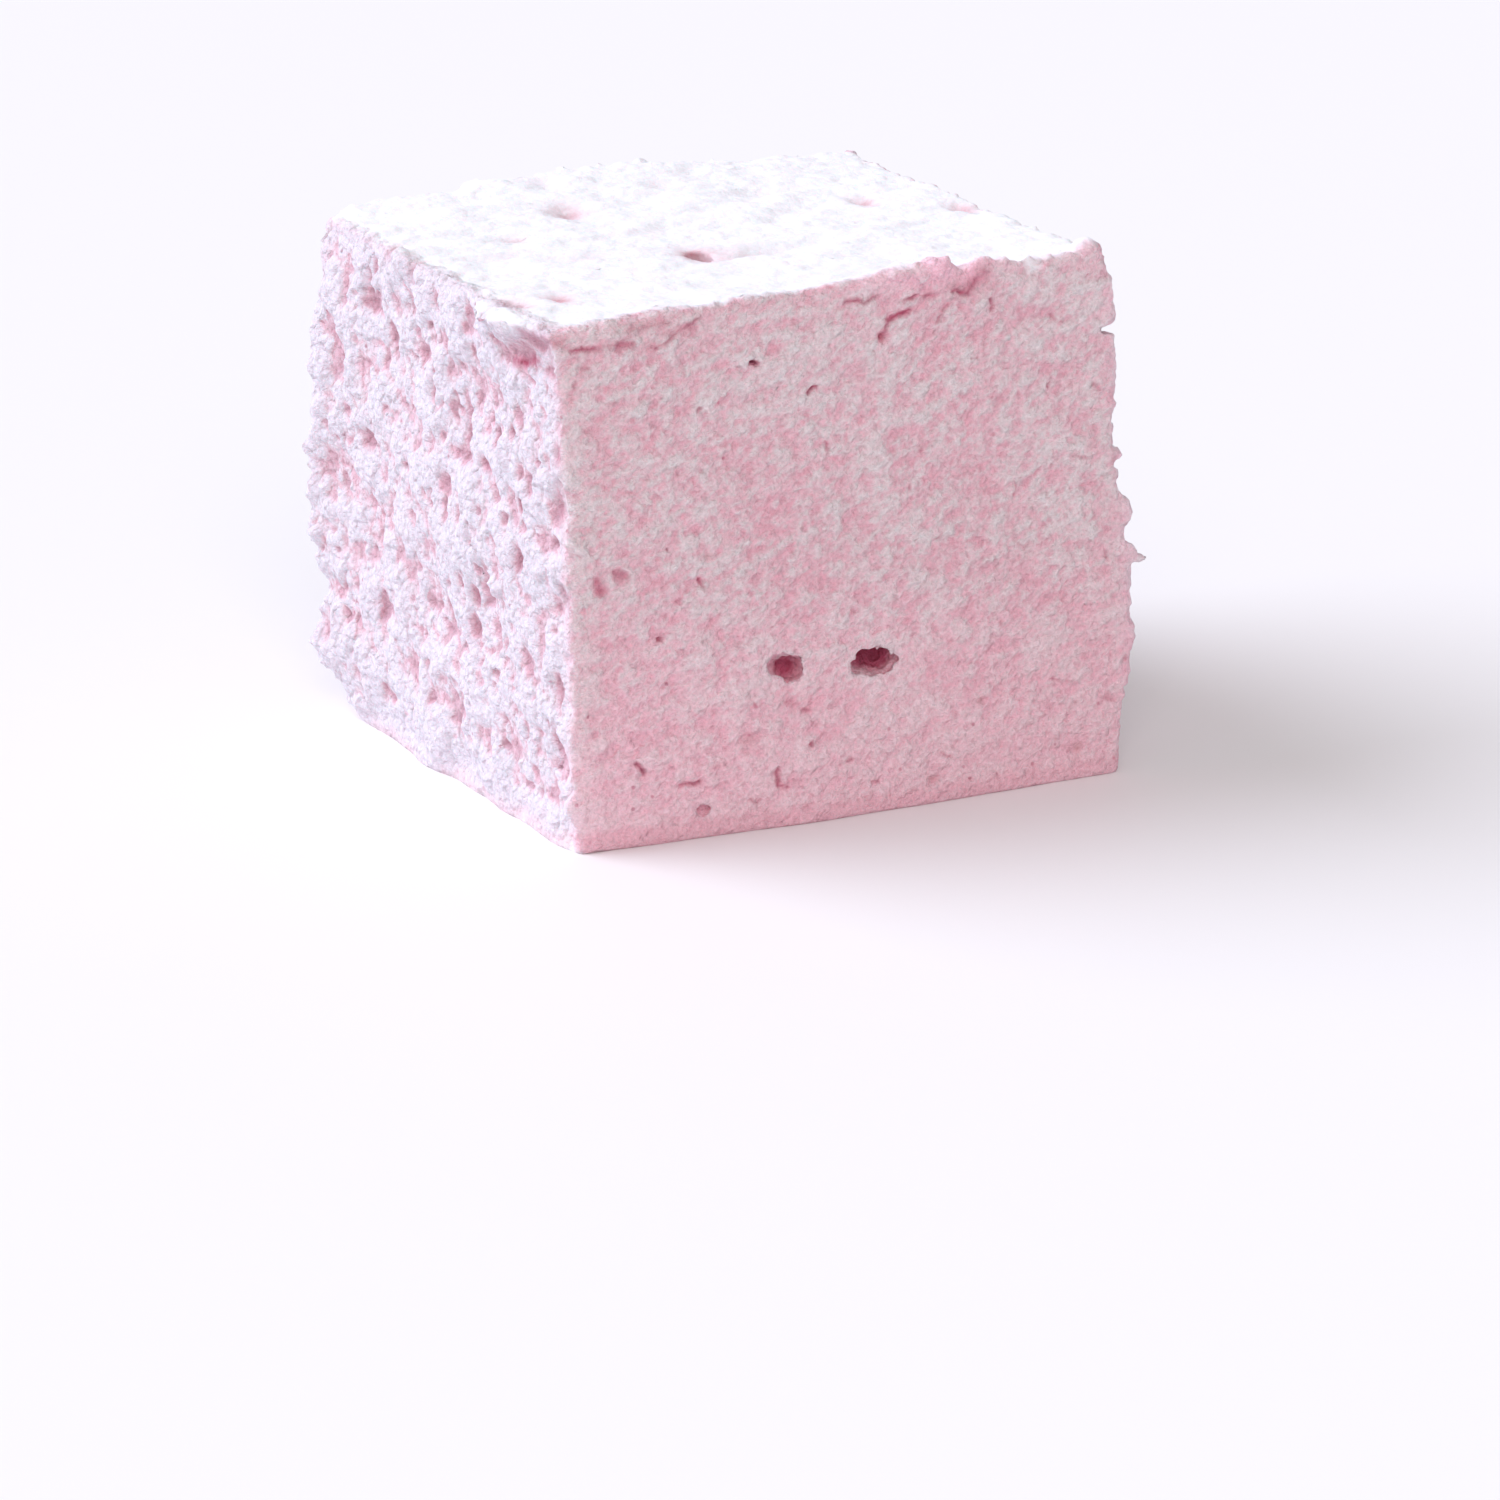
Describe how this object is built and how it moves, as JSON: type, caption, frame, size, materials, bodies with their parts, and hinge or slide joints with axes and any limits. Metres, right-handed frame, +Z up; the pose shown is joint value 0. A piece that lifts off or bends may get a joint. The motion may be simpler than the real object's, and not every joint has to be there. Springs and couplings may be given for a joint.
{
  "type": "marshmallow",
  "caption": "Hand-cut cube of whipped pink marshmallow with crumbly, pitted sides, a dusting of pale powder and a flat underside.",
  "frame": {"origin": "middle of the cube's box, on the surface that it rests on", "axes": "+Z up, through the thickness of the slab it was cut from; -Y out of the smooth knife-cut side, -X out of the rough torn side"},
  "size_m": [0.0408, 0.0398, 0.0346],
  "materials": {
    "marshmallow": null
  },
  "bodies": {
    "root": {"marshmallow": "marshmallow"}
  },
  "joints": []
}
